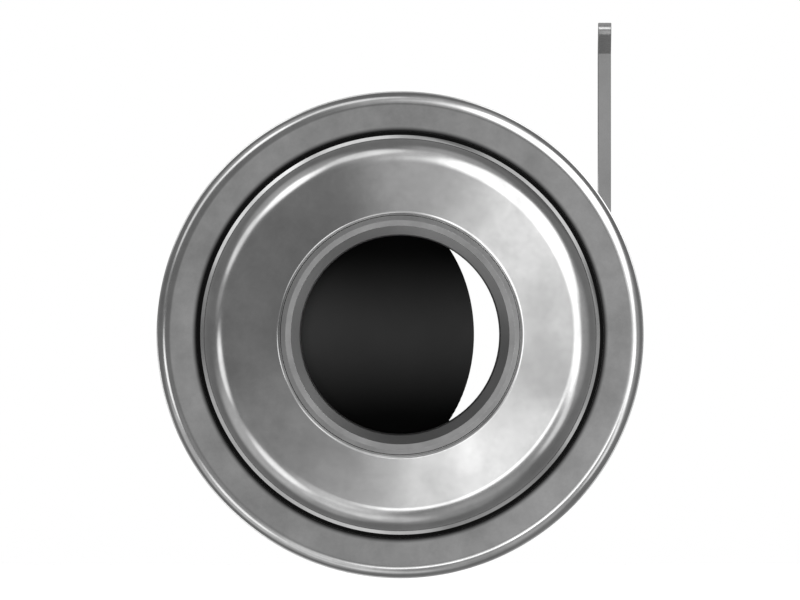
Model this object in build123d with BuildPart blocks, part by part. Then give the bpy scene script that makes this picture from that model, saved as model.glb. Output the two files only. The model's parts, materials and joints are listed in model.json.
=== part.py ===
"""Non-return valve for a round duct: a rubber-faced flap on an upright hinge, locked shut by a lever."""

from build123d import *
from math import cos, radians, sin, tan
import os

os.makedirs("parts", exist_ok=True)

# The duct runs along Y: the inlet mouth is at the origin and the flow goes towards +Y. Lengths are in mm.

# Duct tube at both ends
tube_r = 57.15
tube_wall = 2.75
inlet_grip = 28.0
outlet_grip = 32.0

# Inlet spigot behind its straight stretch
flare_length = 0.25
flare_step = 2.45
collar_length = 10.0

# Spun inlet dish
sheet = 2.0
dish_r = 98.0
dish_tilt = 15.0
shoulder_r = 16.0
shoulder_height = 21.0
lip_width = 2.0
lip_tilt = 40.0
lip_edge = 0.8
lip_root_r = 1.0
lip_edge_r = 0.2
weld_r = 2.4
weld_land = 0.25
weld_height = 3.2
weld_gap = 0.3

# Front ring with a rolled edge, and the gasket deep in the groove inside it
groove_width = 1.75
groove_depth = 6.0
gasket_thickness = 6.0
ring_sheet = 2.5
ring_face = 19.55
ring_edge_r = 0.4
ring_roll_r = 6.6
ring_skirt = 5.5
ring_bead = 0.6
ring_bead_tilt = 35.0
ring_bead_edge = 1.0

# Casing tube and outlet cone
casing_wall = 3.0
casing_length = 122.0
flange_thickness = 2.5
cone_length = 42.0

# Seat
throat_step = 4.8
nozzle_wall = 2.0
nozzle_inset = 0.8
nozzle_flare = 5.0
bulkhead_setback = 4.0
bulkhead_thickness = 3.0
seal_inset = 2.0
seal_width = 9.0
seal_thickness = 3.5
seal_edge_r = 1.2
seal_gap = 0.4

# Flap, hung on an upright pin at the left and shown part open
flap_clearance = 2.95
flap_angle = 40.0
flap_open_limit = 75.0
facing_thickness = 3.0
facing_edge_r = 0.8
plate_thickness = 3.0
plate_inset = 1.0
strap_thickness = 4.0
strap_root_width = 50.0
strap_tip_width = 26.0
strap_overhang = 14.0
strap_corner_r = 5.0
stud_r = 3.0
stud_hole_gap = 0.2
stud_length = 12.0
stud_rise = 15.0
stud_setback = 36.0
nut_flats = 10.0
nut_thickness = 5.0

# Hinge
hinge_setback = 18.0
pin_r = 4.0
pin_overhang = 4.0
bush_wall = 1.5
bush_length = 16.0
bush_flange = 1.5
running_gap = 0.05
knuckle_wall = 2.5
knuckle_length = 56.0
lug_r = 8.5
lug_thickness = 6.0
lug_gap = 0.4
clip_thickness = 1.2
clip_width = 2.5

# Open stop
stop_reach = 61.0
stop_r = 6.0
buffer_r = 8.0
buffer_thickness = 8.0
stop_gap = 0.4

# Lever lock through the right wall
shaft_r = 5.0
shaft_tail = 1.5
shaft_thread = 12.0
lock_bush_wall = 2.5
boss_wall = 2.5
boss_reach = 17.0
boss_proud = 0.95
lever_gap = 0.45
lever_thickness = 6.6
lever_width = 12.0
lever_hub_r = 11.0
lever_length = 156.5
hook_height = 15.3
hook_tilt = 60.0
hook_nose = 4.4
hook_nose_flat = 0.4
hook_top = 5.0
hook_back_drop = 13.0
hook_back_r = 12.0
hook_edge_r = 1.5
lever_edge = 0.3
lever_washer_r = 9.5
lever_washer_thickness = 1.5
lever_nut_flats = 16.0
lever_nut_thickness = 8.0
finger_gap = 0.5
finger_length = 34.5
finger_hub_r = 9.0
finger_hub_length = 10.0
finger_thickness = 6.0
finger_width = 11.0
finger_tip = 6.0
finger_hook = 8.5

# Stations along the duct, worked out from the inlet mouth
slope = tan(radians(dish_tilt))
tube_bore = tube_r - tube_wall
collar_r = tube_r + flare_step
neck_bore = collar_r + weld_gap
neck_r = neck_bore + weld_land
collar_y = inlet_grip + flare_length
neck_y = collar_y + weld_height
dish_corner_y = neck_y + (dish_r - neck_r) * slope
lip_y = dish_corner_y + shoulder_height
lip_edge_y = lip_y + lip_width * tan(radians(lip_tilt))
gasket_y = lip_edge_y + lip_edge
flange_y = gasket_y + gasket_thickness
ring_y = gasket_y - groove_depth
bulkhead_y = flange_y + bulkhead_setback
seat_y = bulkhead_y + bulkhead_thickness
cone_y = flange_y + casing_length
outlet_y = cone_y + cone_length

# Radii that follow from the dish and the tube
lip_r = dish_r + lip_width
groove_r = lip_r + groove_width
ring_collar_r = groove_r + ring_sheet
ring_r = groove_r + ring_face
casing_bore = dish_r - casing_wall
throat_r = tube_bore - throat_step
nozzle_r = throat_r + nozzle_wall

# Hinge line and the flap's own plane, square to the flap and facing the inlet
face_depth = facing_thickness + plate_thickness + strap_thickness / 2
face_y = seat_y + seal_thickness + seal_gap
hinge_offset = casing_bore - hinge_setback
hinge_x = -hinge_offset
hinge_y = face_y + face_depth
bush_r = pin_r + running_gap + bush_wall
knuckle_r = bush_r + knuckle_wall
flap_r = hinge_offset - knuckle_r - flap_clearance
lug_z = knuckle_length / 2 + bush_flange + lug_gap


def flap_plane(angle):
    """Plane through the hinge line along the flap at this opening, X to its free edge and Z to the inlet."""
    along = (cos(radians(angle)), sin(radians(angle)), 0)
    facing = (sin(radians(angle)), -cos(radians(angle)), 0)
    return Plane(origin=(hinge_x, hinge_y, 0), x_dir=along, z_dir=facing)


flap = flap_plane(flap_angle)
stud_places = [
    (hinge_offset, 0),
    (hinge_offset - stud_setback, stud_rise),
    (hinge_offset - stud_setback, -stud_rise),
]

# Lock line across the duct, behind the closed flap's free edge
lock_y = face_y + facing_thickness + plate_thickness + finger_gap + finger_length
lock_bush_r = shaft_r + running_gap + lock_bush_wall
boss_r = lock_bush_r + boss_wall
boss_end_x = dish_r + boss_proud
boss_start_x = casing_bore - boss_reach
lever_x = boss_end_x + lever_gap
lever_outer_x = lever_x + lever_thickness
finger_x = boss_start_x - lever_gap - finger_hub_length
shaft_start_x = finger_x - shaft_tail
shaft_end_x = lever_outer_x + shaft_thread


def turned(outline, corner_radii):
    """Ring turned round the duct axis from (radius, y) corners, each with its own rounding."""
    with BuildPart() as ring:
        with BuildSketch(Plane.XY):
            with BuildLine():
                FilletPolyline(*outline, radius=corner_radii, close=True)
            make_face()
        revolve(axis=Axis.Y)
    return ring


def finish(piece, name):
    """Name the piece and write it out."""
    piece.part.label = name
    export_step(piece.part, f"parts/{name}.step")


# Inlet spigot: straight end, short flare and the collar inside the dish
spigot_end_y = collar_y + collar_length
inlet_spigot = turned(
    [
        (tube_bore, 0),
        (tube_r, 0),
        (tube_r, inlet_grip),
        (collar_r, collar_y),
        (collar_r, spigot_end_y),
        (tube_bore, spigot_end_y),
    ],
    [0, 0, 0, 0, 0, 0],
)
finish(inlet_spigot, "inlet_spigot")

# Inlet dish: welded root, shallow cone, round shoulder, skirt and thin flared lip
inner_drop = sheet / cos(radians(dish_tilt))
dish_bore = dish_r - sheet
inlet_dish = turned(
    [
        (neck_bore, neck_y - weld_height),
        (neck_r, neck_y - weld_height),
        (neck_r, neck_y),
        (dish_r, dish_corner_y),
        (dish_r, lip_y),
        (lip_r, lip_edge_y),
        (lip_r, gasket_y),
        (dish_bore, gasket_y),
        (dish_bore, dish_corner_y - sheet * slope + inner_drop),
        (neck_bore, neck_y - weld_land * slope + inner_drop),
    ],
    [0, 0, weld_r, shoulder_r, lip_root_r, lip_edge_r, 0, 0, shoulder_r - sheet, 0],
)
finish(inlet_dish, "inlet_dish")

# Front ring: collar on the casing flange, flat face, rolled edge and a skirt that turns out at its end
ring_bead_r = ring_r + ring_bead
ring_skirt_y = ring_y + ring_roll_r + ring_skirt
ring_bead_y = ring_skirt_y + ring_bead * tan(radians(ring_bead_tilt))
ring_back_y = ring_bead_y + ring_bead_edge
front_ring = turned(
    [
        (groove_r, flange_y),
        (groove_r, ring_y),
        (ring_r, ring_y),
        (ring_r, ring_skirt_y),
        (ring_bead_r, ring_bead_y),
        (ring_bead_r, ring_back_y),
        (ring_r - ring_sheet, ring_back_y),
        (ring_r - ring_sheet, ring_y + ring_sheet),
        (ring_collar_r, ring_y + ring_sheet),
        (ring_collar_r, flange_y),
    ],
    [0, ring_edge_r, ring_roll_r, 0, 0, 0, 0, ring_roll_r - ring_sheet, 0, 0],
)
finish(front_ring, "front_ring")

# Front gasket: fills the foot of the groove, under the dish's lip
front_gasket = turned(
    [
        (dish_bore, gasket_y),
        (groove_r, gasket_y),
        (groove_r, flange_y),
        (dish_bore, flange_y),
    ],
    [0, 0, 0, 0],
)
finish(front_gasket, "front_gasket")

# Casing tube with its turned-out front flange and the hole for the lock boss
with BuildPart() as casing:
    with BuildSketch(Plane.XY):
        with BuildLine():
            FilletPolyline(
                (casing_bore, flange_y),
                (ring_collar_r, flange_y),
                (ring_collar_r, flange_y + flange_thickness),
                (dish_r, flange_y + flange_thickness),
                (dish_r, cone_y),
                (casing_bore, cone_y),
                radius=[0, 0, 0, flange_thickness, 0, 0],
                close=True,
            )
        make_face()
    revolve(axis=Axis.Y)
    with BuildSketch(Plane.YZ):
        with Locations((lock_y, 0)):
            Circle(boss_r)
    extrude(amount=ring_r, mode=Mode.SUBTRACT)
finish(casing, "casing")

# Outlet cone and outlet spigot
outlet_cone = turned(
    [
        (casing_bore, cone_y),
        (dish_r, cone_y),
        (tube_r, outlet_y),
        (tube_bore, outlet_y),
    ],
    [0, 0, 0, 0],
)
finish(outlet_cone, "outlet_cone")

outlet_end_y = outlet_y + outlet_grip
outlet_spigot = turned(
    [
        (tube_bore, outlet_y),
        (tube_r, outlet_y),
        (tube_r, outlet_end_y),
        (tube_bore, outlet_end_y),
    ],
    [0, 0, 0, 0],
)
finish(outlet_spigot, "outlet_spigot")

# Bulkhead, the nozzle that leads through it and the seal that the flap shuts on
bulkhead = turned(
    [
        (nozzle_r, bulkhead_y),
        (casing_bore, bulkhead_y),
        (casing_bore, seat_y),
        (nozzle_r, seat_y),
    ],
    [0, 0, 0, 0],
)
finish(bulkhead, "bulkhead")

flare_end_y = nozzle_inset + nozzle_flare
seat_nozzle = turned(
    [
        (tube_bore, nozzle_inset),
        (throat_r, flare_end_y),
        (throat_r, seat_y),
        (nozzle_r, seat_y),
        (nozzle_r, flare_end_y + nozzle_wall),
        (tube_bore, flare_end_y),
    ],
    [0, nozzle_wall, 0, 0, 0, 0],
)
finish(seat_nozzle, "seat_nozzle")

seal_r = nozzle_r + seal_inset
seat_seal = turned(
    [
        (seal_r, seat_y),
        (seal_r + seal_width, seat_y),
        (seal_r + seal_width, seat_y + seal_thickness),
        (seal_r, seat_y + seal_thickness),
    ],
    [0, 0, seal_edge_r, seal_edge_r],
)
finish(seat_seal, "seat_seal")

# Flap: rubber facing on a steel plate
with BuildPart() as flap_facing:
    with BuildSketch(flap.offset(face_depth)):
        with Locations((hinge_offset, 0)):
            Circle(flap_r)
    extrude(amount=-facing_thickness)
    fillet(flap_facing.edges(), radius=facing_edge_r)
finish(flap_facing, "flap_facing")

plate_depth = face_depth - facing_thickness
with BuildPart() as flap_plate:
    with BuildSketch(flap.offset(plate_depth)):
        with Locations((hinge_offset, 0)):
            Circle(flap_r - plate_inset)
    extrude(amount=-plate_thickness)
finish(flap_plate, "flap_plate")

# Hinge strap: tapered leaf on the plate's back, with a knuckle round the hinge line
strap_end = hinge_offset + strap_overhang
with BuildPart() as hinge_strap:
    with BuildSketch(flap.offset(strap_thickness / 2)):
        with BuildLine():
            FilletPolyline(
                (0, -strap_root_width / 2),
                (strap_end, -strap_tip_width / 2),
                (strap_end, strap_tip_width / 2),
                (0, strap_root_width / 2),
                radius=[0, strap_corner_r, strap_corner_r, 0],
                close=True,
            )
        make_face()
        with Locations(stud_places):
            Circle(stud_r + stud_hole_gap, mode=Mode.SUBTRACT)
    extrude(amount=-strap_thickness)
    with BuildSketch(Plane.XY):
        with Locations((hinge_x, hinge_y)):
            Circle(knuckle_r)
    extrude(amount=knuckle_length / 2, both=True)
    with BuildSketch(Plane.XY):
        with Locations((hinge_x, hinge_y)):
            Circle(bush_r)
    extrude(amount=knuckle_length / 2, both=True, mode=Mode.SUBTRACT)
finish(hinge_strap, "hinge_strap")

# Studs welded to the plate, and their nuts
with BuildPart() as flap_studs:
    with BuildSketch(flap.offset(strap_thickness / 2)):
        with Locations(stud_places):
            Circle(stud_r)
    extrude(amount=-stud_length)
finish(flap_studs, "flap_studs")

with BuildPart() as flap_nuts:
    with BuildSketch(flap.offset(-strap_thickness / 2)):
        with Locations(stud_places):
            RegularPolygon(nut_flats / 2, 6, major_radius=False)
            Circle(stud_r, mode=Mode.SUBTRACT)
    extrude(amount=-nut_thickness)
finish(flap_nuts, "flap_nuts")


def hinge_bush(end):
    """Flanged bush in one end of the knuckle: end is 1 at the top and -1 at the bottom."""
    with BuildPart() as bush:
        with BuildSketch(Plane.XY.offset(end * knuckle_length / 2)):
            with Locations((hinge_x, hinge_y)):
                Circle(knuckle_r)
                Circle(pin_r + running_gap, mode=Mode.SUBTRACT)
        extrude(amount=end * bush_flange)
        with BuildSketch(Plane.XY.offset(end * knuckle_length / 2)):
            with Locations((hinge_x, hinge_y)):
                Circle(bush_r)
                Circle(pin_r + running_gap, mode=Mode.SUBTRACT)
        extrude(amount=-end * bush_length)
    return bush


def hinge_lug(end):
    """Lug on the bulkhead that holds one end of the hinge pin."""
    with BuildPart() as lug:
        with BuildSketch(Plane.XY.offset(end * lug_z)):
            with Locations((hinge_x, hinge_y)):
                Circle(lug_r)
            with Locations((hinge_x, (seat_y + hinge_y) / 2)):
                Rectangle(2 * lug_r, hinge_y - seat_y)
            with Locations((hinge_x, hinge_y)):
                Circle(pin_r, mode=Mode.SUBTRACT)
        extrude(amount=end * lug_thickness)
    return lug


for end, place in ((1, "upper"), (-1, "lower")):
    finish(hinge_bush(end), f"hinge_bush_{place}")
    finish(hinge_lug(end), f"hinge_lug_{place}")

# Hinge pin and the clips outside its lugs
clip_z = lug_z + lug_thickness
with BuildPart() as hinge_pin:
    with BuildSketch(Plane.XY):
        with Locations((hinge_x, hinge_y)):
            Circle(pin_r)
    extrude(amount=clip_z + pin_overhang, both=True)
finish(hinge_pin, "hinge_pin")

with BuildPart() as pin_clips:
    for end in (1, -1):
        with BuildSketch(Plane.XY.offset(end * clip_z)):
            with Locations((hinge_x, hinge_y)):
                Circle(pin_r + clip_width)
                Circle(pin_r, mode=Mode.SUBTRACT)
        extrude(amount=end * clip_thickness)
finish(pin_clips, "pin_clips")

# Open stop: a post square to the open flap, with a rubber buffer just short of the strap
open_flap = flap_plane(flap_open_limit)
buffer_front = -strap_thickness / 2 - stop_gap
with BuildPart() as stop_buffer:
    with BuildSketch(open_flap.offset(buffer_front)):
        with Locations((stop_reach, 0)):
            Circle(buffer_r)
    extrude(amount=-buffer_thickness)
finish(stop_buffer, "stop_buffer")

with BuildPart() as stop_post:
    with BuildSketch(open_flap.offset(buffer_front - buffer_thickness)):
        with Locations((stop_reach, 0)):
            Circle(stop_r)
    extrude(amount=-casing_bore)
    with BuildSketch(Plane.XZ):
        Circle(casing_bore)
    extrude(amount=-outlet_end_y, mode=Mode.INTERSECT)
finish(stop_post, "stop_post")


def across(start_x, outer_r, bore_r, length):
    """Round piece on the lock line, with a bore unless bore_r is 0."""
    with BuildPart() as piece:
        with BuildSketch(Plane.YZ.offset(start_x)):
            with Locations((lock_y, 0)):
                Circle(outer_r)
                if bore_r:
                    Circle(bore_r, mode=Mode.SUBTRACT)
        extrude(amount=length)
    return piece


# Lock boss through the casing wall, its bush and the shaft
boss_length = boss_end_x - boss_start_x
finish(across(boss_start_x, boss_r, lock_bush_r, boss_length), "lock_boss")
finish(across(boss_start_x, lock_bush_r, shaft_r + running_gap, boss_length), "lock_bush")
finish(across(shaft_start_x, shaft_r, 0, shaft_end_x - shaft_start_x), "lock_shaft")

# Lock finger: hangs down while the flap is free, and its hook turns behind the flap to lock it
with BuildPart() as lock_finger:
    with BuildSketch(Plane.YZ.offset(finger_x)):
        with Locations((lock_y, 0)):
            Circle(finger_hub_r)
    extrude(amount=finger_hub_length)
    with BuildSketch(Plane.YZ.offset(finger_x)):
        with Locations((lock_y, -finger_length / 2)):
            Rectangle(finger_width, finger_length)
    extrude(amount=finger_thickness)
    with BuildSketch(Plane.YZ.offset(finger_x - finger_hook)):
        with Locations((lock_y, finger_tip / 2 - finger_length)):
            Rectangle(finger_width, finger_tip)
    extrude(amount=finger_hook)
    with BuildSketch(Plane.YZ.offset(finger_x)):
        with Locations((lock_y, 0)):
            Circle(shaft_r)
    extrude(amount=finger_hub_length, mode=Mode.SUBTRACT)
finish(lock_finger, "lock_finger")

# Lock lever: flat bar with a round hub, and a tip that hooks forward for the hand to a round nose
lever_front_y = lock_y - lever_width / 2
lever_back_y = lock_y + lever_width / 2
hook_root_z = lever_length - hook_height
nose_z = lever_length - hook_nose
nose_r = (hook_nose - hook_nose_flat) / tan(radians(hook_tilt / 2))
hook_y = lever_front_y - (nose_z - hook_root_z) * tan(radians(hook_tilt))
with BuildPart() as lock_lever:
    with BuildSketch(Plane.YZ.offset(lever_x)):
        with BuildLine():
            FilletPolyline(
                (lever_front_y, 0),
                (lever_front_y, hook_root_z),
                (hook_y, nose_z),
                (hook_y, lever_length),
                (hook_y + hook_top, lever_length),
                (lever_back_y, lever_length - hook_back_drop),
                (lever_back_y, 0),
                radius=[0, 0, nose_r, 0, hook_edge_r, hook_back_r, 0],
                close=True,
            )
        make_face()
        with Locations((lock_y, 0)):
            Circle(lever_hub_r)
            Circle(shaft_r, mode=Mode.SUBTRACT)
    extrude(amount=lever_thickness)
    side_faces = lock_lever.faces().filter_by(Axis.X)
    chamfer([face.outer_wire().edges() for face in side_faces], length=lever_edge)
finish(lock_lever, "lock_lever")

# Washer and nut outside the lever
finish(across(lever_outer_x, lever_washer_r, shaft_r, lever_washer_thickness), "lever_washer")

with BuildPart() as lever_nut:
    with BuildSketch(Plane.YZ.offset(lever_outer_x + lever_washer_thickness)):
        with Locations((lock_y, 0)):
            RegularPolygon(lever_nut_flats / 2, 6, major_radius=False)
            Circle(shaft_r, mode=Mode.SUBTRACT)
    extrude(amount=lever_nut_thickness)
finish(lever_nut, "lever_nut")
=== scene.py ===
"""Looks of a non-return duct valve: satin spun steel, a black rubber flap and a plain white studio."""

import bmesh
import bpy
import json
from math import atan2, ceil, cos, pi, radians, sin, tan
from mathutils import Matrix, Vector

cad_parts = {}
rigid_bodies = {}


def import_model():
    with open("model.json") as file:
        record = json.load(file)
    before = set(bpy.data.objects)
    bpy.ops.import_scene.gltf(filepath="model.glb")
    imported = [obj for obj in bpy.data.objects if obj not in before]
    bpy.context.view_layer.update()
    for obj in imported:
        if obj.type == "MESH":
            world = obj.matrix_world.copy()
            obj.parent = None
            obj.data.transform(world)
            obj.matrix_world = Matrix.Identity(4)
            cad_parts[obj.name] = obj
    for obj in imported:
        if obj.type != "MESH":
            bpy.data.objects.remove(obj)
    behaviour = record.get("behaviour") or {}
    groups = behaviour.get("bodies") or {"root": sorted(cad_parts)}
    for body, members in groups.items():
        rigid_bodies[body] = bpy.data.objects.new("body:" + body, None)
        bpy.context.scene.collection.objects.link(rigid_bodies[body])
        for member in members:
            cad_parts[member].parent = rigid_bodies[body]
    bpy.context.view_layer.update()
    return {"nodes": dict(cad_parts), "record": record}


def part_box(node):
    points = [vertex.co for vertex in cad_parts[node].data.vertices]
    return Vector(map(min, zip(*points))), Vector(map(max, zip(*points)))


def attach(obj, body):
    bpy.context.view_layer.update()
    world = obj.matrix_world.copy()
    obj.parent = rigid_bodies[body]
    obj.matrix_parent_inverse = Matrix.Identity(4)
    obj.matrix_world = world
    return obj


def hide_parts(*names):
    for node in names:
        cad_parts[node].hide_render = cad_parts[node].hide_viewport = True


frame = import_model()
nodes = frame["nodes"]
scene = bpy.context.scene
shaft_middle = sum(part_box("lock_shaft"), Vector()) / 2

# Metres in a mm, what the names of fine pieces start with, and white
MM = 0.001
FINE = "fine_"
WHITE = (1, 1, 1, 1)

# The photograph: a long lens straight along the duct, in mm, and this many metres to a pixel
METRES_PER_PIXEL = 0.0005
IMAGE_WIDTH = 800
IMAGE_MIDDLE = (400, 300)
DUCT_AXIS_PIXEL = (400.1, 334.8)
LENS = 1000.0
SENSOR = 36.0
CLIP_END = 1000.0

# Floor: height and half side in metres, its two greys, its roughness and its patches to a metre
FLOOR_Z = -0.15
FLOOR_HALF = 3.0
FLOOR_DARK = 0.84
FLOOR_LIGHT = 0.88
FLOOR_ROUGHNESS = 0.8
FLOOR_PATCHES = 3.0

# Lamps that the metal doesn't mirror: strength, then spread and tilt in degrees
LAMPS = {
    "top_light": (2.2, 60, 0),
    "front_light": (3.0, 6, 90),
}
# Even light from all round
AMBIENT = 0.21
# Softboxes: turn from the right, angle off the view, full and faded half-angle in degrees, and brightness
SOFTBOXES = {
    "front_fill": (315, 4, 4, 18, 0.25),
    "upper_right": (43, 59.5, 24, 34, 1.5),
    "upper_right_far": (38, 82, 6, 18, 0.7),
    "upper_right_low": (20, 33, 4, 18, 0.42),
    "right": (357, 50, 8, 18, 1.2),
    "right_far": (346, 61, 4, 12, 0.9),
    "right_near": (350, 30, 2, 20, 0.34),
    "right_wide": (0, 66, 5, 46, 0.22),
    "right_rim": (331, 71, 4, 14, 0.7),
    "right_side": (308, 60, 4, 30, 0.16),
    "lower_right": (291, 33, 5, 14, 0.66),
    "lower_right_end": (268, 33, 3, 12, 0.12),
    "right_low": (313, 33, 5, 14, 0.6),
    "right_low_end": (333, 33, 3, 12, 0.1),
    "top": (82, 62, 6, 28, 0.42),
    "top_low": (76, 38, 4, 22, 0.36),
    "top_rim": (70, 92, 4, 24, 0.25),
    "top_left": (102, 77, 6, 16, 0.85),
    "upper_left": (127, 71, 8, 15, 1.45),
    "upper_left_end": (149, 76, 4, 15, 0.95),
    "upper_left_rim": (126, 90, 6, 28, 0.28),
    "left": (190, 64, 5, 13, 1.5),
    "left_end": (164, 77, 4, 14, 0.2),
    "left_low": (215, 84, 4, 32, 0.42),
    "lower_left": (227, 63, 4, 15, 1.25),
    "lower_left_rim": (245, 94, 4, 24, 0.25),
    "under_left": (252, 70, 4, 22, 0.55),
    "under": (254, 46, 4, 18, 0.48),
    "under_wide": (235, 40, 4, 30, 0.16),
    "bottom": (268, 82, 4, 16, 0.3),
    "bottom_wide": (285, 80, 4, 34, 0.18),
}
# Bent strip light at the lower right: a row of small softboxes at these turns, otherwise alike
STRIP_TURNS = range(264, 341, 8)
STRIP_BOX = (38.7, 2.5, 7, 0.75)
# Lights behind the valve, for what faces away from the camera: place in metres, side and power
REAR_LIGHTS = {
    "rear_right": ((1.3, 1.0, 0.5), 0.9, 4.0),
    "rear_left": ((-1.2, 1.1, 0.7), 0.9, 3.0),
    "rear_top": ((0.0, 0.5, 1.5), 0.9, 4.0),
    "rear_end": ((0.2, 1.9, 0.2), 0.8, 5.0),
}
REAR_AIM = (0.0, 0.15, 0.0)
# What those lights reach, fine pieces by the names of the nodes that they replace
REAR_PIECES = [
    "casing",
    "outlet_cone",
    "outlet_spigot",
    "cone_weld",
    "outlet_weld",
    "bulkhead",
    "flap_plate",
    "hinge_strap",
    "flap_studs",
    "flap_nuts",
    "hinge_bush_upper",
    "hinge_bush_lower",
    "hinge_lug_upper",
    "hinge_lug_lower",
    "hinge_pin",
    "pin_clips",
    "stop_post",
    "stop_buffer",
    "lock_finger",
    "lock_boss",
    "lock_bush",
    "lock_shaft",
    "lever_washer",
    "lever_nut",
]
# Plain sheet pieces inside, left as they came from the mill
DULL_NODES = [
    "bulkhead",
    "flap_plate",
    "hinge_strap",
    "hinge_lug_upper",
    "hinge_lug_lower",
    "stop_post",
    "lock_finger",
]

# Patterns of the materials: the range that noise covers, its cells to a metre and its detail
NOISE_RANGE = (0.3, 0.7)
CLOUD_SCALE = 40.0
CLOUD_DETAIL = 6.0
CLOUD_ROUGHNESS = 0.65
SMALL_CLOUD_SCALE = 160.0
BRONZE_CLOUD_SCALE = 120.0
BLOOM_SCALE = 60.0
PATCH_SCALE = 25.0
GRAIN_SCALE = 1800.0
SKIN_SCALE = 2500.0
FINE_DETAIL = 2.0
# Strength of the metal's grain and the rubber's skin, and their height in metres
GRAIN_STRENGTH = 0.1
SKIN_STRENGTH = 0.08
BUMP_HEIGHT = 0.00002
# Gloss of the rubber, and the painted sheen band on the flap: its half height in metres and how patchy it
# is
RUBBER_SPECULAR = 0.1
FLAP_SPECULAR = 0.2
FLAP_ROUGH = (0.5, 0.62)
SHEEN_HALF_HEIGHT = 0.0445
SHEEN_PATCHES = (0.85, 1.0)

# Painted shade of the groove on the ring's inner edge, from its darkest radius to clean steel, in metres
GROOVE_SHADE_REACH = (0.10185, 0.1046)
GROOVE_SHADE_DARK = 0.03
# Painted shade darkening the nozzle downwards and the ring to the left: direction, start and full, shade
NOZZLE_SHADE = ((0.0, 0.0, -1.0), (-0.055, 0.055), 0.3)
RING_SIDE_SHADE = ((-0.94, 0.0, 0.34), (-0.09, -0.02), 0.88)
# Painted shade on the dish's lip at the upper right: direction times its pull, start and full, shade
LIP_SHADE = ((0.106, 0.0, 0.106), (0.1105, 0.1125), 0.4)
# Axes across the duct, to measure radii by
ACROSS_DUCT = (1, 0, 1)

# Fineness of the pieces: steps round the duct, degrees to a step in a rounding, mm of broken edges
TURN_STEPS = 256
ARC_STEP = 5.0
ARC_STEPS_LEAST = 2
EDGE_BREAK = 0.2
FINE_EDGE = 0.05
SHARP_ANGLE = 25.0
# A face whose normal's y is below this is flat to the front
FLAT_FRONT = -0.999

# Sizes of the turned pieces in mm and degrees, as their solids have them
TUBE_R = 57.15
TUBE_WALL = 2.75
INLET_GRIP = 28.0
FLARE_LENGTH = 0.25
FLARE_STEP = 2.45
COLLAR_LENGTH = 10.0
SHEET = 2.0
DISH_R = 98.0
DISH_TILT = 15.0
SHOULDER_R = 16.0
SHOULDER_HEIGHT = 21.0
LIP_WIDTH = 2.0
LIP_TILT = 40.0
LIP_EDGE = 0.8
LIP_ROOT_R = 1.0
LIP_EDGE_R = 0.2
WELD_R = 2.4
WELD_LAND = 0.25
WELD_HEIGHT = 3.2
WELD_GAP = 0.3
GROOVE_WIDTH = 1.75
GROOVE_DEPTH = 6.0
GASKET_THICKNESS = 6.0
RING_SHEET = 2.5
RING_FACE = 19.55
RING_EDGE_R = 0.4
RING_ROLL_R = 6.6
RING_SKIRT = 5.5
RING_BEAD = 0.6
RING_BEAD_TILT = 35.0
RING_BEAD_EDGE = 1.0

# Radii and stations that the turned pieces share
COLLAR_R = TUBE_R + FLARE_STEP
COLLAR_Y = INLET_GRIP + FLARE_LENGTH
NECK_BORE = COLLAR_R + WELD_GAP
NECK_R = NECK_BORE + WELD_LAND
NECK_Y = COLLAR_Y + WELD_HEIGHT
DISH_SLOPE = tan(radians(DISH_TILT))
DISH_CORNER_Y = NECK_Y + (DISH_R - NECK_R) * DISH_SLOPE
LIP_R = DISH_R + LIP_WIDTH
LIP_Y = DISH_CORNER_Y + SHOULDER_HEIGHT
LIP_EDGE_Y = LIP_Y + LIP_WIDTH * tan(radians(LIP_TILT))
GASKET_Y = LIP_EDGE_Y + LIP_EDGE

# Weld beads round the outlet, in mm
BEAD_SIZE = 1.3
BEAD_RIPPLE = 0.14
BEAD_PITCH = 2.2
BEAD_STEPS_TO_RIPPLE = 4
BEAD_SECTION = 12

# Lever's nut and the shaft's threaded end, in mm
NUT_SIDES = 6
NUT_FLATS = 16.0
NUT_FACE_R = 7.7
NUT_CHAMFER = 0.9
NUT_CHAMFER_STEPS = 6
NUT_BORE_BREAK = 0.5
SHAFT_R = 5.0
SHAFT_END_R = 4.1
SHAFT_TIP = 1.0
THREAD_LENGTH = 10.0
THREAD_PITCH = 1.5
THREAD_DEPTH = 0.75
THREAD_STEP = 0.125
ROUND_STEPS = 96


# Shader helpers


def new_node(tree, kind, **settings):
    """Shader node of this kind, with its plain settings."""
    made = tree.nodes.new(kind)
    for key, value in settings.items():
        setattr(made, key, value)
    return made


def object_place(tree):
    """Place on the piece, in metres in its own frame."""
    return new_node(tree, "ShaderNodeTexCoord").outputs["Object"]


def noise(tree, place, scale, detail=3.0, roughness=0.5):
    """Noise over places, with this many cells to a metre."""
    made = new_node(tree, "ShaderNodeTexNoise")
    made.inputs["Scale"].default_value = scale
    made.inputs["Detail"].default_value = detail
    made.inputs["Roughness"].default_value = roughness
    tree.links.new(place, made.inputs["Vector"])
    return made.outputs["Fac"]


def stretch(tree, value, source, target, curve="LINEAR"):
    """Value stretched from one range to another, and held at its ends."""
    made = new_node(tree, "ShaderNodeMapRange", interpolation_type=curve)
    made.inputs["From Min"].default_value = source[0]
    made.inputs["From Max"].default_value = source[1]
    made.inputs["To Min"].default_value = target[0]
    made.inputs["To Max"].default_value = target[1]
    tree.links.new(value, made.inputs["Value"])
    return made.outputs["Result"]


def along(tree, place, direction):
    """How far a place lies along a direction."""
    made = new_node(tree, "ShaderNodeVectorMath", operation="DOT_PRODUCT")
    made.inputs[1].default_value = direction
    tree.links.new(place, made.inputs[0])
    return made.outputs["Value"]


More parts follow.
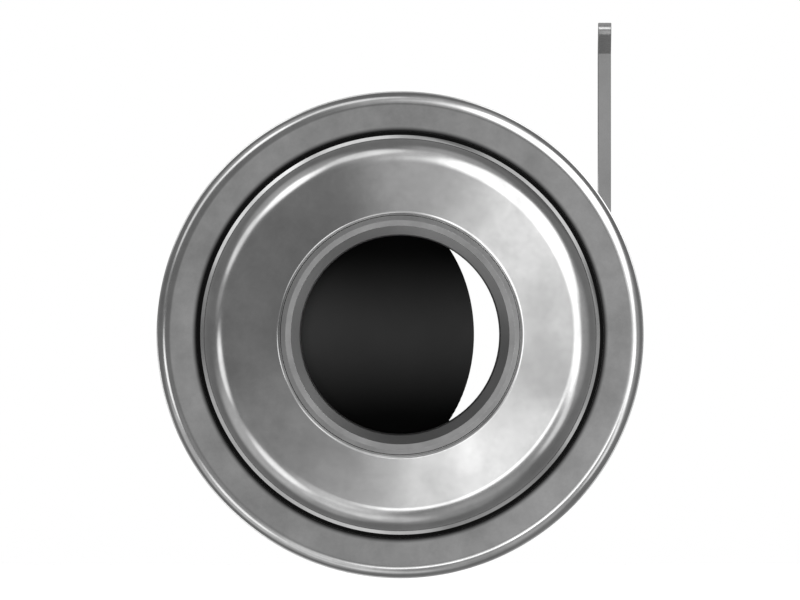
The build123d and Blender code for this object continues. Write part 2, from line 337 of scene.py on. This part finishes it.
def duct_radius(tree, place):
    """Distance of a place from the duct's axis."""
    flat = new_node(tree, "ShaderNodeVectorMath", operation="MULTIPLY")
    flat.inputs[1].default_value = ACROSS_DUCT
    tree.links.new(place, flat.inputs[0])
    radius = new_node(tree, "ShaderNodeVectorMath", operation="LENGTH")
    tree.links.new(flat.outputs["Vector"], radius.inputs[0])
    return radius.outputs["Value"]


def combine(tree, operation, first, second):
    """Sum or product of two values."""
    made = new_node(tree, "ShaderNodeMath", operation=operation)
    tree.links.new(first, made.inputs[0])
    tree.links.new(second, made.inputs[1])
    return made.outputs["Value"]


def grey(value):
    """Neutral colour of this brightness."""
    return (value, value, value)


def blend_colours(tree, factor, first, second):
    """Colour between two, by a value from 0 to 1."""
    made = new_node(tree, "ShaderNodeMix", data_type="RGBA")
    made.inputs["A"].default_value = (*first, 1)
    made.inputs["B"].default_value = (*second, 1)
    tree.links.new(factor, made.inputs["Factor"])
    return made.outputs["Result"]


def add_bump(tree, shader, height, strength):
    """Fine bump on the shader's normal."""
    bump = new_node(tree, "ShaderNodeBump")
    bump.inputs["Strength"].default_value = strength
    bump.inputs["Distance"].default_value = BUMP_HEIGHT
    tree.links.new(height, bump.inputs["Height"])
    tree.links.new(bump.outputs["Normal"], shader.inputs["Normal"])


def start_material(name):
    """Plain material with its shader and the places on its piece."""
    material = bpy.data.materials.new(name)
    material.use_nodes = True
    tree = material.node_tree
    return material, tree, tree.nodes["Principled BSDF"], object_place(tree)


# Materials


def metal(name, dark, light, rough, cloud_scale=CLOUD_SCALE):
    """Satin metal with soft clouds in its colour and gloss, and a fine grain."""
    material, tree, shader, place = start_material(name)
    clouds = noise(tree, place, cloud_scale, CLOUD_DETAIL, CLOUD_ROUGHNESS)
    colour = blend_colours(tree, stretch(tree, clouds, NOISE_RANGE, (0, 1)), dark, light)
    glossiest, dullest = rough
    shader.inputs["Metallic"].default_value = 1.0
    tree.links.new(colour, shader.inputs["Base Color"])
    tree.links.new(stretch(tree, clouds, NOISE_RANGE, (dullest, glossiest)), shader.inputs["Roughness"])
    add_bump(tree, shader, noise(tree, place, GRAIN_SCALE, FINE_DETAIL), GRAIN_STRENGTH)
    return material


def scale_colour(material, value, reach, shades):
    """Base colour scaled by a value on the piece, smoothly from one shade to another over its reach."""
    tree = material.node_tree
    socket = tree.nodes["Principled BSDF"].inputs["Base Color"]
    clean = socket.links[0].from_socket
    scaled = new_node(tree, "ShaderNodeVectorMath", operation="SCALE")
    tree.links.new(clean, scaled.inputs["Vector"])
    tree.links.new(stretch(tree, value, reach, shades, "SMOOTHSTEP"), scaled.inputs["Scale"])
    tree.links.new(scaled.outputs["Vector"], socket)


def paint_groove_shade(material):
    """Painted shade that darkens the ring's inner edge towards the groove."""
    tree = material.node_tree
    scale_colour(material, duct_radius(tree, object_place(tree)), GROOVE_SHADE_REACH, (GROOVE_SHADE_DARK, 1))


def paint_shade_across(material, towards, reach, shade):
    """Painted shade that darkens the colour across the piece."""
    tree = material.node_tree
    scale_colour(material, along(tree, object_place(tree), towards), reach, (1, shade))


def paint_lip_shade(material, pull, reach, shade):
    """Painted shade that darkens the outer edge, on one side of the duct."""
    tree = material.node_tree
    place = object_place(tree)
    outwards = combine(tree, "ADD", duct_radius(tree, place), along(tree, place, pull))
    scale_colour(material, outwards, reach, (1, shade))


def rubber(name, dark, light, rough):
    """Black rubber with a faint bloom and a fine skin."""
    material, tree, shader, place = start_material(name)
    paleness = noise(tree, place, BLOOM_SCALE)
    colour = blend_colours(tree, stretch(tree, paleness, NOISE_RANGE, (0, 1)), dark, light)
    tree.links.new(colour, shader.inputs["Base Color"])
    tree.links.new(stretch(tree, paleness, NOISE_RANGE, rough), shader.inputs["Roughness"])
    shader.inputs["Specular IOR Level"].default_value = RUBBER_SPECULAR
    add_bump(tree, shader, noise(tree, place, SKIN_SCALE, FINE_DETAIL), SKIN_STRENGTH)
    return material


def flap_rubber(name, dark, light):
    """Black rubber with a painted sheen: a pale, patchy band at mid-height that fades to dark above and
    below.
    """
    material, tree, shader, place = start_material(name)
    split = new_node(tree, "ShaderNodeSeparateXYZ")
    tree.links.new(place, split.inputs["Vector"])
    height = new_node(tree, "ShaderNodeMath", operation="ABSOLUTE")
    tree.links.new(split.outputs["Z"], height.inputs[0])
    # Painted sheen: pale at mid-height, dark at top and bottom, made patchy by noise
    band = stretch(tree, height.outputs["Value"], (SHEEN_HALF_HEIGHT, 0), (0, 1), "SMOOTHSTEP")
    patches = noise(tree, place, PATCH_SCALE)
    paleness = combine(tree, "MULTIPLY", band, stretch(tree, patches, NOISE_RANGE, SHEEN_PATCHES))
    tree.links.new(blend_colours(tree, paleness, dark, light), shader.inputs["Base Color"])
    tree.links.new(stretch(tree, patches, NOISE_RANGE, FLAP_ROUGH), shader.inputs["Roughness"])
    shader.inputs["Specular IOR Level"].default_value = FLAP_SPECULAR
    add_bump(tree, shader, noise(tree, place, SKIN_SCALE, FINE_DETAIL), SKIN_STRENGTH)
    return material


steel = metal("satin_steel", dark=grey(0.5), light=grey(0.69), rough=(0.155, 0.195))
dish_steel = metal("dish_steel", dark=grey(0.5), light=grey(0.69), rough=(0.155, 0.195))
# Painted shade on the lip at the upper right
paint_lip_shade(dish_steel, *LIP_SHADE)
ring_steel = metal("ring_steel", dark=grey(0.5), light=grey(0.7), rough=(0.155, 0.195))
# Painted shade towards the groove, on both ring materials
paint_groove_shade(ring_steel)
ring_face_steel = metal("ring_face_steel", dark=grey(0.5), light=grey(0.7), rough=(0.155, 0.195))
paint_groove_shade(ring_face_steel)
# Painted shade on the left of the ring's face
paint_shade_across(ring_face_steel, *RING_SIDE_SHADE)
lever_steel = metal("lever_steel", dark=grey(0.54), light=grey(0.63), rough=(0.18, 0.22))
nozzle_steel = metal("nozzle_steel", dark=grey(0.41), light=grey(0.49), rough=(0.42, 0.5))
# Painted shade, darker towards the bottom of the nozzle
paint_shade_across(nozzle_steel, *NOZZLE_SHADE)
dull_steel = metal("dull_steel", dark=grey(0.5), light=grey(0.62), rough=(0.42, 0.52))
bright_steel = metal(
    "bright_steel",
    dark=grey(0.6),
    light=grey(0.7),
    rough=(0.16, 0.24),
    cloud_scale=SMALL_CLOUD_SCALE,
)
bronze = metal(
    "bush_bronze",
    dark=(0.42, 0.28, 0.13),
    light=(0.52, 0.36, 0.18),
    rough=(0.28, 0.36),
    cloud_scale=BRONZE_CLOUD_SCALE,
)
black_rubber = rubber("black_rubber", dark=grey(0.0015), light=grey(0.003), rough=(0.45, 0.55))
flap_face = flap_rubber("flap_rubber", dark=grey(0.002), light=grey(0.036))

BY_SLOT = {
    "satin_steel": steel,
    "lever_steel": lever_steel,
    "bright_steel": bright_steel,
    "bush_bronze": bronze,
    "black_rubber": black_rubber,
}
for subpart in frame["record"]["subparts"]:
    mesh = nodes[subpart["node"]].data
    mesh.materials.clear()
    mesh.materials.append(BY_SLOT[subpart["material_slot"]])
nodes["flap_facing"].data.materials[0] = flap_face
nodes["seat_nozzle"].data.materials[0] = nozzle_steel
for name in DULL_NODES:
    nodes[name].data.materials[0] = dull_steel
# The lever's hooked tip mirrors the studio alone, not the lever below it
nodes["lock_lever"].visible_glossy = False


# Shapes


def full_turn(steps):
    """Angles of even steps round a circle."""
    return [2 * pi * step / steps for step in range(steps)]


def about_duct(radius, y, turn):
    """Place in metres at this radius and station in mm, turned about the duct."""
    return (radius * cos(turn) * MM, y * MM, radius * sin(turn) * MM)


def about_shaft(radius, x, turn):
    """Place in metres at this radius and station in mm, turned about the lever's shaft."""
    return (x * MM, shaft_middle.y + radius * cos(turn) * MM, shaft_middle.z + radius * sin(turn) * MM)


def rounded(corners):
    """Closed outline through corners of radius, y and rounding, with an arc at each."""
    points = []
    places = [Vector(corner[:2]) for corner in corners]
    roundings = [corner[2] for corner in corners]
    for index, (here, rounding) in enumerate(zip(places, roundings)):
        back = (places[index - 1] - here).normalized()
        ahead = (places[(index + 1) % len(places)] - here).normalized()
        half = back.angle(ahead) / 2
        centre = here + (back + ahead).normalized() * (rounding / sin(half))
        start = here + back * (rounding / tan(half)) - centre
        end = here + ahead * (rounding / tan(half)) - centre
        swing = start.angle_signed(end)
        steps = max(ARC_STEPS_LEAST, ceil(abs(swing) / radians(ARC_STEP)))
        first = atan2(start.y, start.x)
        for step in range(steps + 1):
            angle = first - swing * step / steps
            points.append(centre + rounding * Vector((cos(angle), sin(angle))))
    return points


def wound(rings, closed=True):
    """Skin over rings of places in metres, either joined end to end or capped at both ends."""
    shape = bmesh.new()
    loops = [[shape.verts.new(place) for place in ring] for ring in rings]
    following = loops[1:] + loops[:1] if closed else loops[1:]
    for loop, beyond in zip(loops, following):
        for index in range(len(loop)):
            ahead = (index + 1) % len(loop)
            shape.faces.new((loop[index], loop[ahead], beyond[ahead], beyond[index]))
    if not closed:
        shape.faces.new(loops[0])
        shape.faces.new(loops[-1])
    bmesh.ops.recalc_face_normals(shape, faces=shape.faces)
    return shape


def finished(shape, name, body, slot):
    """Piece from a skin, smooth but for its sharp edges, that rides on a body."""
    mesh = bpy.data.meshes.new(name)
    shape.to_mesh(mesh)
    shape.free()
    mesh.shade_smooth()
    mesh.set_sharp_from_angle(angle=radians(SHARP_ANGLE))
    mesh.materials.append(BY_SLOT[slot])
    piece = bpy.data.objects.new(name, mesh)
    scene.collection.objects.link(piece)
    flats = piece.modifiers.new("true_flats", "WEIGHTED_NORMAL")
    flats.keep_sharp = True
    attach(piece, body)
    return piece


def turned(node, corners):
    """Fine piece turned round the duct from an outline in mm, in place of the solid of the same outline."""
    outline = rounded(corners)
    rings = [[about_duct(point.x, point.y, turn) for point in outline] for turn in full_turn(TURN_STEPS)]
    piece = finished(wound(rings), FINE + node, "body", "satin_steel")
    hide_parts(node)
    return piece


# Pieces


def inlet_spigot():
    """Tube end with a flat rim, an outer flare and a collar that is welded into the dish."""
    bore = TUBE_R - TUBE_WALL
    end_y = COLLAR_Y + COLLAR_LENGTH
    turned(
        "inlet_spigot",
        [
            (bore, 0, FINE_EDGE),
            (TUBE_R, 0, FINE_EDGE),
            (TUBE_R, INLET_GRIP, FINE_EDGE),
            (COLLAR_R, COLLAR_Y, FINE_EDGE),
            (COLLAR_R, end_y, EDGE_BREAK),
            (bore, end_y, EDGE_BREAK),
        ],
    )


def inlet_dish():
    """Spun dish: welded root, shallow cone, rounded shoulder and a thin lip that flares out."""
    bore = DISH_R - SHEET
    sheet_y = SHEET / cos(radians(DISH_TILT))
    piece = turned(
        "inlet_dish",
        [
            (NECK_BORE, COLLAR_Y, FINE_EDGE),
            (NECK_R, COLLAR_Y, FINE_EDGE),
            (NECK_R, NECK_Y, WELD_R),
            (DISH_R, DISH_CORNER_Y, SHOULDER_R),
            (DISH_R, LIP_Y, LIP_ROOT_R),
            (LIP_R, LIP_EDGE_Y, LIP_EDGE_R),
            (LIP_R, GASKET_Y, EDGE_BREAK),
            (bore, GASKET_Y, EDGE_BREAK),
            (bore, DISH_CORNER_Y - SHEET * DISH_SLOPE + sheet_y, SHOULDER_R - SHEET),
            (NECK_BORE, NECK_Y - WELD_LAND * DISH_SLOPE + sheet_y, EDGE_BREAK),
        ],
    )
    piece.data.materials[0] = dish_steel


def front_ring():
    """Flat-faced ring round the dish: collar in the groove, rolled outer edge and beaded skirt."""
    groove_r = LIP_R + GROOVE_WIDTH
    collar_r = groove_r + RING_SHEET
    outer_r = groove_r + RING_FACE
    skirt_bore = outer_r - RING_SHEET
    bead_r = outer_r + RING_BEAD
    face_y = GASKET_Y - GROOVE_DEPTH
    face_back_y = face_y + RING_SHEET
    flange_y = GASKET_Y + GASKET_THICKNESS
    skirt_y = face_y + RING_ROLL_R + RING_SKIRT
    bead_y = skirt_y + RING_BEAD * tan(radians(RING_BEAD_TILT))
    end_y = bead_y + RING_BEAD_EDGE
    piece = turned(
        "front_ring",
        [
            (groove_r, flange_y, EDGE_BREAK),
            (groove_r, face_y, RING_EDGE_R),
            (outer_r, face_y, RING_ROLL_R),
            (outer_r, skirt_y, EDGE_BREAK),
            (bead_r, bead_y, EDGE_BREAK),
            (bead_r, end_y, EDGE_BREAK),
            (skirt_bore, end_y, EDGE_BREAK),
            (skirt_bore, face_back_y, RING_ROLL_R - RING_SHEET),
            (collar_r, face_back_y, EDGE_BREAK),
            (collar_r, flange_y, EDGE_BREAK),
        ],
    )
    # The dish mirrors the studio alone, not the ring's face beside it
    piece.visible_glossy = False
    piece.data.materials[0] = ring_steel
    piece.data.materials.append(ring_face_steel)
    for face in piece.data.polygons:
        if face.normal.y < FLAT_FRONT:
            face.material_index = 1


def weld_bead(name, radius, y):
    """Rippled weld bead round the duct, half sunk in the seam."""
    ripples = round(2 * pi * radius / BEAD_PITCH)
    section = full_turn(BEAD_SECTION)
    rings = []
    for turn in full_turn(ripples * BEAD_STEPS_TO_RIPPLE):
        size = BEAD_SIZE * (1 - BEAD_RIPPLE * abs(sin(turn * ripples / 2)))
        spots = [(radius + size * cos(part), y + size * sin(part)) for part in section]
        rings.append([about_duct(*spot, turn) for spot in spots])
    finished(wound(rings), name, "body", "satin_steel")


def chamfered_nut():
    """Lever's nut with its corners chamfered at both ends and its bore broken."""
    low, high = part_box("lever_nut")
    start_x = low.x / MM
    end_x = high.x / MM
    half_side = pi / NUT_SIDES
    corner_r = NUT_FLATS / 2 / cos(half_side)
    rise = (corner_r - NUT_FACE_R) / NUT_CHAMFER
    chamfers = [NUT_CHAMFER * step / NUT_CHAMFER_STEPS for step in range(NUT_CHAMFER_STEPS + 1)]
    stations = [(start_x + depth, NUT_FACE_R + rise * depth) for depth in chamfers]
    stations += [(end_x - depth, NUT_FACE_R + rise * depth) for depth in reversed(chamfers)]
    stations.append((end_x, SHAFT_R + NUT_BORE_BREAK))
    stations.append((end_x - NUT_BORE_BREAK, SHAFT_R))
    stations.append((start_x + NUT_BORE_BREAK, SHAFT_R))
    stations.append((start_x, SHAFT_R + NUT_BORE_BREAK))
    rings = []
    for x, limit in stations:
        ring = []
        for turn in full_turn(ROUND_STEPS):
            flat_r = NUT_FLATS / 2 / cos(turn % (2 * half_side) - half_side)
            ring.append(about_shaft(min(flat_r, limit), x, turn))
        rings.append(ring)
    piece = finished(wound(rings), FINE + "lever_nut", "lever", "bright_steel")
    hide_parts("lever_nut")


def threaded_shaft():
    """Lock shaft with a chamfered, threaded outer end."""
    low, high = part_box("lock_shaft")
    start_x = low.x / MM
    end_x = high.x / MM
    thread_x = end_x - THREAD_LENGTH
    turns = full_turn(ROUND_STEPS)
    rings = [[about_shaft(SHAFT_R - EDGE_BREAK, start_x, turn) for turn in turns]]
    rings.append([about_shaft(SHAFT_R, start_x + EDGE_BREAK, turn) for turn in turns])
    for step in range(round(THREAD_LENGTH / THREAD_STEP) + 1):
        x = thread_x + step * THREAD_STEP
        pitches = (x - thread_x) / THREAD_PITCH
        tip_r = SHAFT_END_R + (end_x - x) * (SHAFT_R - SHAFT_END_R) / SHAFT_TIP
        ring = []
        for turn in turns:
            phase = (pitches - turn / (2 * pi)) % 1
            valley = min(1, pitches) * THREAD_DEPTH * (1 - abs(2 * phase - 1))
            ring.append(about_shaft(min(SHAFT_R - valley, tip_r), x, turn))
        rings.append(ring)
    piece = finished(wound(rings, closed=False), FINE + "lock_shaft", "lever", "bright_steel")
    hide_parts("lock_shaft")


# Studio


def softbox(tree, look, turn, off_view, full, faded, brightness):
    """Light of one softbox in the direction of look."""
    side = sin(radians(off_view))
    towards = (side * cos(radians(turn)), -cos(radians(off_view)), side * sin(radians(turn)))
    edge = (cos(radians(faded)), cos(radians(full)))
    return stretch(tree, along(tree, look, towards), edge, (0, brightness), "SMOOTHSTEP")


def studio_world():
    """White backdrop for the camera, and a ring of softboxes for the metal to mirror."""
    world = bpy.data.worlds.new("studio")
    world.use_nodes = True
    scene.world = world
    tree = world.node_tree
    tree.nodes.clear()
    look = new_node(tree, "ShaderNodeTexCoord").outputs["Generated"]
    strip = [(turn, *STRIP_BOX) for turn in STRIP_TURNS]
    total = None
    for settings in [*SOFTBOXES.values(), *strip]:
        add = new_node(tree, "ShaderNodeMath", operation="ADD")
        if total is None:
            add.inputs[0].default_value = AMBIENT
        else:
            tree.links.new(total, add.inputs[0])
        tree.links.new(softbox(tree, look, *settings), add.inputs[1])
        total = add.outputs["Value"]
    studio = new_node(tree, "ShaderNodeBackground")
    studio.inputs["Color"].default_value = WHITE
    tree.links.new(total, studio.inputs["Strength"])
    backdrop = new_node(tree, "ShaderNodeBackground")
    backdrop.inputs["Color"].default_value = WHITE
    choose = new_node(tree, "ShaderNodeMixShader")
    tree.links.new(new_node(tree, "ShaderNodeLightPath").outputs["Is Camera Ray"], choose.inputs["Fac"])
    tree.links.new(studio.outputs["Background"], choose.inputs[1])
    tree.links.new(backdrop.outputs["Background"], choose.inputs[2])
    output = new_node(tree, "ShaderNodeOutputWorld")
    tree.links.new(choose.outputs["Shader"], output.inputs["Surface"])


def rear_lights():
    """Soft lights behind the valve for its casing and outlet, with no light on what faces the camera."""
    lit = bpy.data.collections.new("lit_from_behind")
    for piece in list(scene.collection.all_objects):
        if piece.name.removeprefix(FINE) in REAR_PIECES:
            lit.objects.link(piece)
    for name, (place, side, power) in REAR_LIGHTS.items():
        data = bpy.data.lights.new(name, "AREA")
        data.size = side
        data.energy = power
        made = bpy.data.objects.new(name, data)
        made.location = place
        made.rotation_euler = (Vector(REAR_AIM) - made.location).to_track_quat("-Z", "Y").to_euler()
        made.visible_camera = False
        scene.collection.objects.link(made)
        made.light_linking.receiver_collection = lit


def lamp(name, energy, spread_angle, tilt):
    """Soft lamp that the metal doesn't mirror; tilt 0 shines down, 90 along the duct."""
    data = bpy.data.lights.new(name, "SUN")
    data.energy = energy
    data.angle = radians(spread_angle)
    made = bpy.data.objects.new(name, data)
    made.rotation_euler = (radians(tilt), 0, 0)
    made.visible_glossy = False
    scene.collection.objects.link(made)


def floor():
    """Pale floor below the valve, outside the photograph's frame."""
    mesh = bpy.data.meshes.new("floor")
    corners = [(x * FLOOR_HALF, y * FLOOR_HALF, FLOOR_Z) for x, y in ((-1, -1), (1, -1), (1, 1), (-1, 1))]
    mesh.from_pydata(corners, [], [(0, 1, 2, 3)])
    plane = bpy.data.objects.new("floor", mesh)
    scene.collection.objects.link(plane)
    material, tree, shader, place = start_material("pale_floor")
    patches = noise(tree, place, FLOOR_PATCHES)
    colour = blend_colours(tree, patches, grey(FLOOR_DARK), grey(FLOOR_LIGHT))
    tree.links.new(colour, shader.inputs["Base Color"])
    shader.inputs["Roughness"].default_value = FLOOR_ROUGHNESS
    mesh.materials.append(material)
    plane.visible_glossy = False


def camera():
    """Camera far in front of the inlet, level and square to the ring."""
    data = bpy.data.cameras.new("camera")
    data.lens = LENS
    data.sensor_width = SENSOR
    data.clip_end = CLIP_END
    view = bpy.data.objects.new("camera", data)
    scene.collection.objects.link(view)
    width = IMAGE_WIDTH * METRES_PER_PIXEL
    ring_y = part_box("front_ring")[0].y
    across = (IMAGE_MIDDLE[0] - DUCT_AXIS_PIXEL[0]) * METRES_PER_PIXEL
    up = (DUCT_AXIS_PIXEL[1] - IMAGE_MIDDLE[1]) * METRES_PER_PIXEL
    view.location = (across, ring_y - width * LENS / SENSOR, up)
    view.rotation_euler = (pi / 2, 0, 0)
    scene.camera = view


inlet_spigot()
inlet_dish()
front_ring()
weld_bead("cone_weld", DISH_R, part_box("outlet_cone")[0].y / MM)
weld_bead("outlet_weld", TUBE_R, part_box("outlet_spigot")[0].y / MM)
chamfered_nut()
threaded_shaft()
studio_world()
rear_lights()
for name, settings in LAMPS.items():
    lamp(name, *settings)
floor()
camera()
scene.view_settings.view_transform = "Standard"
